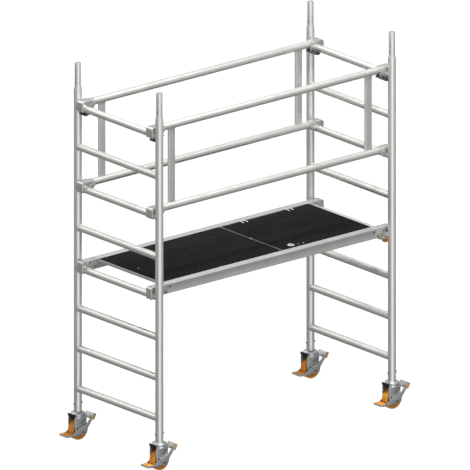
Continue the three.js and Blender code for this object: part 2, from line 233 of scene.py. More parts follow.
def box(low, high, rim=0.001, segments=2):
    """A bar with rounded edges between two corners."""
    low, high = Vector(low), Vector(high)
    points = [(x, y, low.z) for x, y in rectangle(low.x, low.y, high.x, high.y)]
    return slab(points, (0, 0, high.z - low.z), rim, segments)


AXES = {
    "x": (Vector((1, 0, 0)), Vector((0, 0, 1))),
    "y": (Vector((0, 1, 0)), Vector((1, 0, 0))),
    "z": (Vector((0, 0, 1)), Vector((1, 0, 0))),
}


def turn(outline, axis="z", centre=(0, 0, 0), steps=SMALL_ROUND, closed=False):
    """A turned piece from an outline of (radius, place on the axis)."""
    along, out = AXES[axis]
    centre = Vector(centre)
    draw([centre + out * radius + along * place for radius, place in outline])
    if closed:
        bpy.ops.mesh.edge_face_add()
        bpy.ops.mesh.delete(type="ONLY_FACE")
        bpy.ops.mesh.select_all(action="SELECT")
    bpy.ops.mesh.spin(steps=steps, angle=math.tau, center=centre, axis=along)
    return tidy_mesh()


def arc(centre, radius, start, end, count):
    """Points round an arc, in degrees from the first axis towards the second."""
    angles = [math.radians(start + (end - start) * i / (count - 1)) for i in range(count)]
    return [(centre[0] + radius * math.cos(a), centre[1] + radius * math.sin(a)) for a in angles]


def rounded_rectangle(half_a, half_b, radius, count=5):
    """A rectangle round the origin whose corners are arcs."""
    outline = []
    for sign_a, sign_b, start in ((1, 1, 0), (-1, 1, 90), (-1, -1, 180), (1, -1, 270)):
        corner = (sign_a * (half_a - radius), sign_b * (half_b - radius))
        outline += arc(corner, radius, start, start + 90, count)
    return outline


def drill(piece, axis, radius, centre):
    """Cuts a round hole right through."""
    along = AXES[axis][0]
    turned = along.to_track_quat("Z", "Y").to_euler()
    clear_selection()
    bpy.ops.mesh.primitive_cylinder_add(
        vertices=SMALL_ROUND, radius=radius, depth=THROUGH, location=centre, rotation=turned
    )
    cutter = bpy.context.active_object
    apply_modifier(piece, "BOOLEAN", operation="DIFFERENCE", object=cutter, solver="EXACT")
    bpy.data.objects.remove(cutter)
    return piece


def join(*pieces):
    """Makes several shells one piece."""
    select_only(*pieces)
    bpy.ops.object.join()
    return bpy.context.active_object


def copy_of(piece, offset, turned=0.0):
    """A copy with its own mesh, turned about the upright axis and then moved."""
    twin = piece.copy()
    twin.data = piece.data.copy()
    bpy.context.scene.collection.objects.link(twin)
    twin.data.transform(Matrix.Translation(Vector(offset)) @ Matrix.Rotation(turned, 4, "Z"))
    return twin


def deliver(piece, name, finish, body, replaces=(), smooth=SMOOTH_ANGLE):
    """Names a finished piece, gives it its finish and fixes it to its body."""
    select_only(piece)
    bpy.ops.object.shade_smooth_by_angle(angle=math.radians(smooth))
    piece.name = name
    piece.data.name = name
    piece.data.materials.clear()
    piece.data.materials.append(bpy.data.materials[finish])
    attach(piece, body)
    if replaces:
        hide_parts(*replaces)
    return piece


def deliver_copies(source, places, name, finish, body, replaces=""):
    """Copies a piece to each place and then removes the one it was copied from.

    places holds (place, offset, turn). A * in a name stands for the place.
    """
    select_only(source)
    bpy.ops.object.shade_smooth_by_angle(angle=math.radians(SMOOTH_ANGLE))
    for place, offset, turned in places:
        stands_for = [replaces.replace("*", place)] if replaces else []
        deliver(
            copy_of(source, offset, turned), name.replace("*", place), finish,
            body.replace("*", place), stands_for,
        )
    bpy.data.objects.remove(source)


# ---- Finishes ----


def feed(tree, socket, value):
    """Links another socket into this one, or sets its number."""
    if isinstance(value, bpy.types.NodeSocket):
        tree.links.new(value, socket)
    else:
        socket.default_value = value


def add_node(tree, kind, **inputs):
    node = tree.nodes.new(kind)
    for key, value in inputs.items():
        feed(tree, node.inputs[key], value)
    return node


def maths(tree, operation, *values):
    """One step of arithmetic on numbers or sockets."""
    node = tree.nodes.new("ShaderNodeMath")
    node.operation = operation
    for value, socket in zip(values, node.inputs):
        feed(tree, socket, value)
    return node.outputs[0]


def noise(tree, stretch, detail):
    """Noise on object coordinates, from 0 to 1, finer along the axes that stretch is large on."""
    place = tree.nodes.new("ShaderNodeTexCoord").outputs["Object"]
    mapped = add_node(tree, "ShaderNodeMapping", Vector=place, Scale=stretch).outputs[0]
    cloud = add_node(tree, "ShaderNodeTexNoise", Vector=mapped, Scale=1.0, Detail=detail)
    return cloud.outputs["Fac"]


def between(tree, value, low, high, start=0.3, stop=0.7):
    """Spreads a 0 to 1 value over low to high."""
    node = tree.nodes.new("ShaderNodeMapRange")
    tree.links.new(value, node.inputs["Value"])
    for key, number in (("From Min", start), ("From Max", stop), ("To Min", low), ("To Max", high)):
        node.inputs[key].default_value = number
    return node.outputs["Result"]


def mix(tree, factor, first, second, blend="MIX"):
    """Blends two colours, given as sockets or as numbers."""
    node = tree.nodes.new("ShaderNodeMix")
    node.data_type = "RGBA"
    node.blend_type = blend
    for key, value in (("Factor", factor), ("A", first), ("B", second)):
        feed(tree, node.inputs[key], value)
    return node.outputs["Result"]


def tint(tree, value, dark, light, start=0.3, stop=0.7):
    """Blends two colours by a 0 to 1 value."""
    spread = between(tree, value, 0, 1, start, stop)
    return mix(tree, spread, (*dark, 1), (*light, 1))


def new_finish(name, **sockets):
    """A new finish's tree, with the constant numbers set on its shader."""
    material = bpy.data.materials.new(name)
    material.use_nodes = True
    shader = material.node_tree.nodes["Principled BSDF"]
    for key, value in sockets.items():
        shader.inputs[key.replace("_", " ")].default_value = value
    return material.node_tree


def shade(colour, share):
    return tuple(min(1.0, channel * share) for channel in colour[:3])


def shades(colour, dark, light):
    return shade(colour, dark), shade(colour, light)


def connect(tree, colour, roughness, height, distance):
    """Links the parts of a finish that vary over the surface."""
    shader = tree.nodes["Principled BSDF"]
    bump = add_node(tree, "ShaderNodeBump", Height=height, Distance=distance, Strength=0.6)
    tree.links.new(colour, shader.inputs["Base Color"])
    tree.links.new(roughness, shader.inputs["Roughness"])
    tree.links.new(bump.outputs[0], shader.inputs["Normal"])


def mottled(tree, tones, pattern, rough, grain, distance, scuffed=False):
    """Drifts between two tones by one noise, and raises the skin by another.

    pattern and grain are each (stretch, detail). The roughness follows the pattern, or the
    grain where the finish is scuffed.
    """
    clouds = noise(tree, *pattern)
    skin = noise(tree, *grain)
    roughness = between(tree, skin if scuffed else clouds, *rough)
    connect(tree, tint(tree, clouds, *tones), roughness, skin, distance)


def drawn_aluminium(name, colour, along, rough=(0.36, 0.5)):
    """Extruded metal: fine lines along its length and broad patches of duller skin."""
    tree = new_finish(name, Metallic=0.82)
    lines = noise(tree, [3 if axis == along else 700 for axis in "xyz"], 4)
    patches = noise(tree, (9, 9, 9), 5)
    halves = [maths(tree, "MULTIPLY", pattern, 0.5) for pattern in (lines, patches)]
    both = maths(tree, "ADD", *halves)
    colours = tint(tree, both, *shades(colour, 0.93, 1.04))
    connect(tree, colours, between(tree, both, *rough), lines, 0.00004)


def cast_aluminium(name, colour):
    """Die-cast metal: a grainy skin with cloudy flow marks."""
    mottled(
        new_finish(name, Metallic=0.85), shades(colour, 0.84, 1.06),
        ((45, 45, 45), 6), (0.38, 0.56), ((900, 900, 900), 2), 0.00025,
    )


def weld_metal(name, colour):
    """A weld bead: overlapping ripples, a little whiter than the tube."""
    ripples = ((380, 380, 380), 2)
    mottled(
        new_finish(name, Metallic=0.85), shades(colour, 0.7, 1.02),
        ripples, (0.35, 0.6), ripples, 0.0008,
    )


def plated_steel(name, colour):
    """Bright zinc over pressed steel: faint cloudy spangle and small scuffs."""
    cold, warm = (0.93, 0.97, 1.0), (1.04, 1.02, 0.96)
    mottled(
        new_finish(name, Metallic=0.9),
        [tuple(c * t for c, t in zip(colour, tone)) for tone in (cold, warm)],
        ((60, 60, 60), 4), (0.34, 0.5), ((260, 260, 120), 6), 0.00005, scuffed=True,
    )


def moulded_plastic(name, colour, rough=(0.42, 0.56)):
    """Moulded nylon or polyurethane: a fine spark texture and slight colour drift."""
    mottled(
        new_finish(name, Specular_IOR_Level=0.4), shades(colour, 0.86, 1.08),
        ((30, 30, 30), 4), rough, ((1100, 1100, 1100), 1), 0.00015,
    )


def tread_rubber(name, colour):
    """The castor's soft tyre: matt, with a worn and slightly dusty running surface."""
    mottled(
        new_finish(name, Specular_IOR_Level=0.3), shades(colour, 0.88, 1.04),
        ((120, 40, 120), 6), (0.5, 0.72), ((1500, 1500, 1500), 2), 0.0002,
    )


def film_faced_board(name, colour):
    """Phenolic film over plywood: a pressed wire mesh, lengthwise streaks and dusty scuffs."""
    tree = new_finish(name, Specular_IOR_Level=0.05)
    place = tree.nodes.new("ShaderNodeTexCoord").outputs["Object"]
    waves = []
    for angle in (-60, 60):
        slant = (0, 0, math.radians(angle))
        turned = add_node(tree, "ShaderNodeMapping", Vector=place, Rotation=slant).outputs[0]
        wave = add_node(tree, "ShaderNodeTexWave", Vector=turned, Scale=55.0, Distortion=0.15)
        wave.bands_direction = "X"
        waves.append(wave.outputs["Fac"])
    streaks = noise(tree, (1.6, 55, 1), 5)
    scuffs = noise(tree, (14, 22, 14), 8)
    dusty = tint(tree, scuffs, *shades(colour, 0.85, 1.35), 0.45, 0.75)
    streaky = tint(tree, streaks, (0.72, 0.72, 0.74), (1.0, 1.0, 0.98))
    connect(
        tree, mix(tree, 1.0, dusty, streaky, "MULTIPLY"), between(tree, scuffs, 0.62, 0.85),
        maths(tree, "MAXIMUM", *waves), 0.0003,
    )


# ---- Settings a user would change ----


def colour_setting(name, description, value):
    return bpy.props.FloatVectorProperty(
        name=name, description=description, subtype="COLOR", size=3, min=0, max=1, default=value
    )


def length_setting(name, description, value):
    return bpy.props.FloatProperty(
        name=name, description=description, default=value, min=0.001, unit="LENGTH"
    )


class ScaffoldSizes(bpy.types.PropertyGroup):
    """Radii of the tubes and of the wheels."""

    stile: length_setting("Stile radius", "Outside radius of an upright tube", 0.024)
    spigot: length_setting("Spigot radius", "Outside radius of the necked tube top", 0.019)
    rung: length_setting("Rung radius", "Outside radius of a rung", 0.0215)
    rail: length_setting("Rail radius", "Outside radius of a guardrail tube", 0.022)
    wheel: length_setting(
        "Wheel radius", "Radius over the tread", size_of("castor_tyre_front_left").z / 2
    )


class ScaffoldColours(bpy.types.PropertyGroup):
    """Colours of the materials."""

    tube: colour_setting("Tube", "Aluminium tube", (0.70, 0.70, 0.675))
    profile: colour_setting("Profile", "Deck beams and trim", (0.54, 0.54, 0.53))
    casting: colour_setting("Casting", "Cast hooks", (0.56, 0.555, 0.54))
    zinc: colour_setting("Zinc", "Castor forks, pins and hinges", (0.50, 0.51, 0.515))
    tyre: colour_setting("Tyre", "Castor tyres", (1.0, 0.40, 0.05))
    plastic: colour_setting("Plastic", "Pedal pads and wind locks", (0.88, 0.30, 0.025))
    latch: colour_setting("Latch", "Guardrail latches", (0.060, 0.068, 0.082))
    board: colour_setting("Board", "Film-faced deck boards", (0.0095, 0.0095, 0.0088))


class BuildStep:
    """What every operator of this file shares."""

    bl_options = {"REGISTER", "UNDO"}


class SCAFFOLD_OT_finishes(BuildStep, bpy.types.Operator):
    """Make the materials from the colours in the panel"""

    bl_idname = "scaffold.finishes"
    bl_label = "Finishes"

    def execute(self, context):
        colours = context.scene.scaffold_colours
        for along in "xyz":
            drawn_aluminium(f"tube_{along}", colours.tube, along)
            drawn_aluminium(f"profile_{along}", colours.profile, along, rough=(0.46, 0.6))
        weld_metal("weld", colours.tube)
        cast_aluminium("casting", colours.casting)
        plated_steel("zinc", colours.zinc)
        plated_steel("bright_steel", (0.80, 0.80, 0.79))
        # dark_zinc colours the stem pins, and also paints the shadow band on the fork legs.
        plated_steel("dark_zinc", shade(colours.zinc, 0.55))
        plated_steel("dark_steel", shade(colours.zinc, 0.12))
        tread_rubber("tyre", colours.tyre)
        moulded_plastic("orange_plastic", colours.plastic)
        # A dark brown finish that paints shade: a hole with the shaded orange tyre seen through it.
        plated_steel("painted_hole_shade", (0.16, 0.065, 0.035))
        moulded_plastic("dark_plastic", colours.latch, rough=(0.45, 0.6))
        moulded_plastic("seam_plastic", (0.085, 0.095, 0.135), rough=(0.6, 0.75))
        moulded_plastic("pale_plastic", (0.80, 0.80, 0.78))
        # A near-black finish that paints the shade inside the castor forks.
        moulded_plastic("painted_shade_black", (0.012, 0.011, 0.012), rough=(0.5, 0.65))
        film_faced_board("board", colours.board)
        return {"FINISHED"}


# ---- End frames ----


def stile_outline(sizes):
    """Wall of a stile and its swaged spigot, as (radius, height)."""
    shoulder = FOOT + STILE_LENGTH
    hole = shoulder + SPIGOT_HOLE_UP
    bore = sizes.stile - STILE_WALL
    neck_bore = sizes.spigot - SPIGOT_WALL
    lip = 0.0015
    return [
        (bore, FOOT + lip),
        (bore + lip, FOOT),
        (sizes.stile - lip / 2, FOOT),
        (sizes.stile, FOOT + lip / 2),
        (sizes.stile, PIN_Z - 0.012),
        (sizes.stile, PIN_Z + 0.012),
        (sizes.stile, shoulder - 0.003),
        (sizes.stile - 0.0006, shoulder),
        (sizes.spigot + 0.0006, shoulder + SWAGE - 0.001),
        (sizes.spigot, shoulder + SWAGE + 0.002),
        (sizes.spigot, hole - 0.012),
        (sizes.spigot, hole + 0.012),
        (sizes.spigot, SPIGOT_TOP - lip),
        (sizes.spigot - lip / 3, SPIGOT_TOP - lip / 3),
        (sizes.spigot - lip, SPIGOT_TOP),
        (neck_bore + lip / 3, SPIGOT_TOP - lip / 3),
        (neck_bore, SPIGOT_TOP - lip),
        (neck_bore, shoulder + SWAGE),
        (bore, shoulder),
    ]


def fluted_rung(radius, height):
    """A rung whose tread carries shallow lengthwise flutes."""
    count, flute, tread = 72, 0.0004, 50
    outline = []
    for index in range(count):
        degrees = 360 * index / count
        on_tread = abs(degrees - 90) < tread
        r = radius - (flute if on_tread and index % 2 else 0)
        angle = math.radians(degrees)
        outline.append((r * math.cos(angle), height + r * math.sin(angle)))
    reach = STILE_Y - 0.009
    return plate(outline, -reach, reach, rim=0)


def hoop(radius, wire, sides, y, height):
    """A ring of round wire about the axis of a rung."""
    clear_selection()
    bpy.ops.mesh.primitive_torus_add(
        major_radius=radius, minor_radius=wire, major_segments=ROUND, minor_segments=sides,
        rotation=(math.pi / 2, 0, 0), location=(0, y, height),
    )
    bpy.ops.object.transform_apply(location=True, rotation=True, scale=True)
    return bpy.context.active_object


def saddle_weld(radius, stile_radius, side, height):
    """A bead that follows the line where a rung meets its stile."""
    bead = hoop(radius + 0.0004, 0.0021, 8, 0, height)
    for vertex in bead.data.vertices:
        across = min(abs(vertex.co.x), stile_radius * 0.97)
        surface = math.sqrt(stile_radius**2 - across**2)
        vertex.co.y += side * (STILE_Y - surface - 0.0004)
    return bead


def stop_mark(radius, y, height):
    """The pressed stud and thin ring on a rung that keep a hook in its place."""
    dome = mm((4, -1), (4, 0.5), (3, 1.3), (0, 1.6))
    stud = turn(dome, centre=(0, y, height + radius))
    return join(stud, hoop(radius, 0.0007, 6, y + math.copysign(0.010, y), height))


class SCAFFOLD_OT_end_frames(BuildStep, bpy.types.Operator):
    """Model the two ladder end frames: stiles with spigots, rungs and weld beads"""

    bl_idname = "scaffold.end_frames"
    bl_label = "End Frames"

    def execute(self, context):
        sizes = context.scene.scaffold_sizes
        stile = turn(stile_outline(sizes), steps=ROUND, closed=True)
        for height in (PIN_Z, FOOT + STILE_LENGTH + SPIGOT_HOLE_UP):
            drill(stile, "x", 0.005, (0, 0, height))
        stiles = join(*[copy_of(stile, (0, side * STILE_Y, 0)) for side in SIDES.values()])
        bpy.data.objects.remove(stile)
        rungs, welds = [], []
        for index in range(RUNG_COUNT):
            rungs.append(fluted_rung(sizes.rung, rung_z(index)))
            for side in SIDES.values():
                rungs.append(stop_mark(sizes.rung, side * STOP_Y, rung_z(index)))
                welds.append(saddle_weld(sizes.rung, sizes.stile, side, rung_z(index)))
        places = [(end, (sign * STILE_X, 0, 0), 0.0) for end, sign in ENDS.items()]
        deliver_copies(stiles, places, "stiles_*", "tube_z", "root", "end_frame_*")
        deliver_copies(join(*rungs), places, "rungs_*", "tube_y", "root")
        deliver_copies(join(*welds), places, "welds_*", "weld", "root")
        return {"FINISHED"}


# ---- Guardrails ----


class SCAFFOLD_OT_guardrails(BuildStep, bpy.types.Operator):
    """Model the two guardrail frames: tubes, flat posts and weld beads"""

    bl_idname = "scaffold.guardrails"
    bl_label = "Guardrails"

    def execute(self, context):
        radius = context.scene.scaffold_sizes.rail
        reach = size_of("guardrail_front").x / 2
        heights = {name: rung_z(index) + RAIL_RISE for name, index in RAIL_RUNGS.items()}
        bore, lip = radius - RAIL_WALL, 0.0007
        wall = rod(bore, radius - lip, radius, -reach, reach, lip)
        tubes = [turn(wall, "x", (0, 0, z), ROUND, closed=True) for z in heights.values()]
        posts, beads = [], []
        half_x, half_y = (side / 2 for side in POST_SECTION)
        top = heights["top"] - radius + 0.003
        bottom = heights["mid"] + radius - 0.003
        for x in (-POST_X, POST_X):
            section = [(x + a, b, bottom) for a, b in rounded_rectangle(half_x, half_y, 0.003)]
            posts.append(slab(section, (0, 0, top - bottom), rim=0))
            for height in (bottom + 0.0005, top - 0.0035):
                edge = rounded_rectangle(half_x + 0.0022, half_y + 0.0022, 0.004)
                points = [(x + a, b, height) for a, b in edge]
                beads.append(slab(points, (0, 0, 0.003), rim=0.0013))
        places = [(side, (0, sign * RAIL_Y, 0), 0.0) for side, sign in SIDES.items()]
        deliver_copies(join(*tubes), places, "rails_*", "tube_x", "root", "guardrail_*")
        deliver_copies(join(*posts), places, "posts_*", "tube_z", "root")
        deliver_copies(join(*beads), places, "post_welds_*", "weld", "root")
        return {"FINISHED"}


# ---- Hooks and latches, modelled round a rung's axis with +X away from the bay ----


def saddle(count=15):
    """The inside of a hook, from its outer lip over the rung to its inner lip."""
    return [(SADDLE, -0.016), *arc((0, 0), SADDLE, 0, 180, count), (-SADDLE, -0.008)]


LATCH_PIVOT = (-0.05, -0.013)


def cheek(outline, y_inside, y_outside, rim=0.0012):
    """The same plate on both sides of a hook."""
    return join(
        plate(outline, y_inside, y_outside, rim), plate(outline, -y_outside, -y_inside, rim)
    )


def both_ends(outline, x, z):
    """A head turned from an outline of (radius, distance from the middle), on both sides."""
    return join(*[
        turn([(radius, side * out) for radius, out in outline], "y", (x, 0, z))
        for side in (-1, 1)
    ])


def latch_lugs(top):
    """The two ears under a hook that carry its latch."""
    x, z = LATCH_PIVOT
    ear = [(x - 0.013, top), (x - 0.009, z), *arc((x, z), 0.008, 200, 340, 9),
           (x + 0.009, z), (x + 0.020, top)]
    return cheek(ear, 0.0138, 0.0196)


def rail_hook(sizes):
    """A cast hook that drops over a rung and plugs into a rail tube."""
    half = 0.029
    claw = [
        (-0.046, 0.0485), (-0.030, 0.0500), (0.010, 0.0500),
        *arc((0.018, 0.034), 0.016, 90, 0, 7),
        (HOOK_END, -0.012), (0.030, -0.016),
        *saddle(), (-0.030, -0.006), (-0.040, 0.004), (-0.046, 0.012),
    ]
    body = plate(claw, -half, half, rim=0.0025, segments=3)
    web = mm((-70, 30), (-66, 18), (-41, -6), (-31, -6), (-18, 30))
    webs = cheek(web, 0.0215, half + 0.0008, rim=0.0006)
    shank, collar = sizes.rail - RAIL_WALL - 0.0004, sizes.rail + 0.0018
    plug = turn([
        (0, HOOK_START - 0.020), (shank, HOOK_START - 0.020), (shank, HOOK_START + 0.0004),
        (sizes.rail + 0.0012, HOOK_START + 0.0008), (collar, HOOK_START + 0.003),
        (collar, -0.040), (0, -0.040),
    ], "x", (0, 0, RAIL_RISE), ROUND)
    return join(body, webs, plug)


CATCH_TOP = mm((-3, -26.2), (-12.5, -24), (-20, -20.7), (-28, -13.7), (-36, -9.2), (-46, -6.4))


def catch(arm):
    """The part of a latch that turns between the ears and reaches under the rung."""
    x, z = LATCH_PIVOT
    half = 0.0128
    body = plate(arm + CATCH_TOP, -half, half, rim=0.0016, segments=3)
    boss = turn(rod(0, 0.0068, 0.0079, -half, half, 0.0011), "y", (x, 0, z))
    return join(body, boss)


def hook_latch():
    """A guardrail's catch: the arm, its outer cheeks and the floor that joins them."""
    x, z = LATCH_PIVOT
    lower = mm(
        (-46, -24), (-34, -34), (-20, -41), (-6, -44), (6, -43), (12, -38), (13.8, -31.2),
        (4, -28.5),
    )
    outer = [
        *arc((x, z), 0.0118, 140, 250, 9), *lower, (-0.0050, -0.0295), (-0.0180, -0.0225),
        (-0.0270, -0.0125), (-0.0360, -0.0072), (-0.0480, -0.0052),
    ]
    floor = [
        *lower[1:6], (0.0100, -0.0340), (0.0040, -0.0385), (-0.0060, -0.0395),
        (-0.0190, -0.0365), (-0.0310, -0.0305),
    ]
    head = mm((0, 20.2), (4.2, 20.2), (4.2, 23.6), (3.2, 24.3), (0, 24.3))
    return join(
        catch([(-0.0530, -0.0170), *lower]),
        cheek(outer, 0.0203, 0.0232, rim=0.0008),
        plate(floor, -0.0225, 0.0225, rim=0.0008),
        both_ends(head, x, z),
    )


class SCAFFOLD_OT_rail_hooks(BuildStep, bpy.types.Operator):
    """Model the cast hooks at the guardrails' ends and the latches under the upper ones"""

    bl_idname = "scaffold.rail_hooks"
    bl_label = "Rail Hooks"

    def execute(self, context):
        sizes = context.scene.scaffold_sizes
        upper, lower = (corner_places(RAIL_Y, rung_z(RAIL_RUNGS[row])) for row in ("top", "mid"))
        plain = rail_hook(sizes)
        latched = join(copy_of(plain, (0, 0, 0)), latch_lugs(0.014))
        deliver_copies(plain, lower, "mid_hook_*", "casting", "root",
                       "rail_hook_mid_*")
        deliver_copies(latched, upper, "top_hook_*", "casting", "root",
                       "rail_hook_top_*")
        deliver_copies(hook_latch(), upper, "hook_latch_*", "dark_plastic", "latch_*",
                       "rail_latch_*")
        return {"FINISHED"}


# ---- Deck ----


def beam_section(side):
    """The side beam's outside, as (y, height): ribbed flange, banded face and board ledge."""
    low, high = BEAM_LOW.z, BOARD_HIGH.z + 0.002
    inner, outer = BEAM_INSIDE, BEAM_HIGH.y
    ledge = BOARD_LOW.z - 0.0003
    rib, groove = high, high - 0.0006
    section = [
        (inner, ledge), (inner, rib - 0.0012), (inner + 0.0012, rib),
        (inner + 0.007, rib), (inner + 0.008, groove), (inner + 0.020, groove),
        (inner + 0.021, rib), (inner + 0.027, rib), (inner + 0.028, groove),
        (outer - 0.008, groove), (outer - 0.007, rib), (outer - 0.0015, rib), (outer, rib - 0.0015),
        (outer, high - 0.013), (outer - 0.0004, high - 0.014), (outer - 0.0004, low + 0.007),
        (outer, low + 0.006), (outer, low + 0.002), (outer - 0.002, low),
        (inner + 0.002, low), (inner, low + 0.002), (inner, ledge - 0.0035),
        (inner - 0.012, ledge - 0.0035), (inner - 0.012, ledge),
    ]
    return [(side * y, z) for y, z in section]


def blind_rivet(centre, side):
    """A blind rivet: a low dome with the open mandrel hole in its middle."""
    radius, height = 0.0058, 0.0016
    dome = [(radius, 0), (radius * 0.95, height * 0.5), (radius * 0.7, height),
            (radius * 0.42, height), (radius * 0.36, height * 0.3), (0, height * 0.3)]
    return turn([(r, side * h) for r, h in dome], "y", centre)


class SCAFFOLD_OT_deck_beams(BuildStep, bpy.types.Operator):
    """Model the deck's side beams, end angles, cross beam and rivets"""

    bl_idname = "scaffold.deck_beams"
    bl_label = "Deck Beams"

    def execute(self, context):
        reach = BEAM_HIGH.x
        for name, side in SIDES.items():
            section = [(-reach, y, z) for y, z in beam_section(side)]
            beam = slab(section, (2 * reach, 0, 0), rim=0)
            deliver(beam, f"beam_{name}", "profile_x", "root", [f"deck_beam_{name}"], 25)
        for end, sign in ENDS.items():
            low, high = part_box(f"deck_end_{end}")
            near, far = (high.x - 0.004, high.x) if sign > 0 else (low.x, low.x + 0.004)
            upright = box((near, low.y, high.z - 0.015), (far, high.y, high.z - 0.0008), 0.0012)
            lip = box((low.x, low.y + 0.012, BOARD_LOW.z - 0.0045),
                      (high.x, high.y - 0.012, BOARD_LOW.z - 0.0003), 0.0008)
            deliver(join(upright, lip), f"end_angle_{end}", "profile_y", "root",
                    [f"deck_end_{end}"])
        self.cross_beams()
        self.rivets()
        return {"FINISHED"}

    def cross_beams(self):
        """Hollow beams under the boards, the one at the seam with a flange for both boards."""
        low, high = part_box("deck_crossbar")
        wall, ledge = 0.003, 0.004
        under = high.z - ledge
        outer = rectangle(low.x, low.z, high.x, under)
        inner = rectangle(low.x + wall, low.z + wall, high.x - wall, under - wall)
        tube = plate(outer, low.y, high.y, rim=0.001)
        hollow = plate(inner, low.y - 0.01, high.y + 0.01, rim=0)
        apply_modifier(tube, "BOOLEAN", operation="DIFFERENCE", object=hollow, solver="EXACT")
        bpy.data.objects.remove(hollow)
        lid_high = (high.x, high.y - 0.0125, high.z)
        top = box((low.x, low.y + 0.0125, under - 0.0005), lid_high, 0.0006)
        deliver(join(tube, top), "seam_beam", "profile_y", "root", ["deck_crossbar"])
        third = (low.x - BOARD_LOW.x) / 3
        for number in (1, 2):
            x = BOARD_LOW.x + number * third
            bar = box((x - 0.02, low.y + 0.0005, low.z + 0.006),
                      (x + 0.02, high.y - 0.0005, under), 0.0015)
            deliver(bar, f"board_bearer_{number}", "profile_y", "root")

    def rivets(self):
        """Blind rivets through each beam's face into its hook casting."""
        outer, inner = BEAM_HIGH.y, BEAM_INSIDE
        spots = [
            (0.785, outer - 0.0004, 0.0390, 1), (0.815, outer, 0.0095, 1),
            (0.857, outer, 0.0360, 1), (0.871, inner, 0.0410, -1), (0.829, inner, 0.0150, -1),
        ]
        heads = []
        for side in SIDES.values():
            for sign in ENDS.values():
                for x, y, up, facing in spots:
                    centre = (sign * x, side * y, DECK_RUNG_Z + up)
                    heads.append(blind_rivet(centre, side * facing))
        deliver(join(*heads), "beam_rivets", "dark_steel", "root")


def deck_hook():
    """A cast hook that closes a beam's end and drops over a rung."""
    start = BEAM_HIGH.x - STILE_X + 0.0003
    high, low, half = 0.057, -0.003, 0.025
    claw = [
        (start, high), (0.012, high), *arc((0.024, 0.045), 0.010, 80, 0, 6),
        (HOOK_END, -0.010), (0.030, -0.016),
        *saddle(), (-0.028, -0.006), (-0.034, low), (start, low),
    ]
    body = plate(claw, -half, half, rim=0.002, segments=3)
    rib = [(start + 0.012, 0.046), (-0.012, 0.046), (0.008, 0.040), (0.022, 0.030),
           (0.018, 0.026), (0, 0.033), (-0.022, 0.030), (-0.032, 0.010), (start + 0.012, 0.006)]
    panels = cheek(rib, half - 0.001, half + 0.0006, rim=0.0005)
    toe = mm((6, -18), (6.5, -8), (6.5, 4), (0, 4))
    toe_cap = mm((6, -18), (4.5, -19.5), (0, -20))
    toes = [turn(o, centre=(0.0275, y, 0)) for o in (toe, toe_cap) for y in (-0.014, 0.014)]
    return join(body, panels, *toes)


def wind_catch():
    """The orange lock below a deck hook: a thin arm that ends in a waved finger grip."""
    arm = mm(
        (-53, -18), (-44, -21.5), (-30, -24), (-17.5, -31), (-16.5, -37), (-17, -45),
        (-14, -47.5), (-10.5, -46.8), (-6.5, -44), (-3, -46.2), (0, -48.8), (3, -47),
        (6.2, -43.6), (9.8, -45.8), (12.6, -45), (14.2, -38.5), (13.5, -31.8), (5, -28.8),
    )
    body = catch(arm)
    ribs = [
        box((x - 0.0012, -0.0134, -0.0430), (x + 0.0012, 0.0134, -0.0320), 0.0006)
        for x in (-0.0105, -0.0005, 0.0095)
    ]
    return join(body, *ribs)


class SCAFFOLD_OT_deck_hooks(BuildStep, bpy.types.Operator):
    """Model the four cast deck hooks and the two orange wind locks under them"""

    bl_idname = "scaffold.deck_hooks"
    bl_label = "Deck Hooks"

    def execute(self, context):
        beam_y = middle("deck_hook_back_right").y
        left, right = (corner_places(beam_y, DECK_RUNG_Z, (end,)) for end in ENDS)
        plain = deck_hook()
        locked = join(copy_of(plain, (0, 0, 0)), latch_lugs(0.002))
        deliver_copies(plain, left, "beam_hook_*", "casting", "root", "deck_hook_*")
        deliver_copies(locked, right, "beam_hook_*", "casting", "root", "deck_hook_*")
        deliver_copies(wind_catch(), right, "wind_catch_*", "orange_plastic", "wind_*",
                       "wind_lock_*")
        return {"FINISHED"}


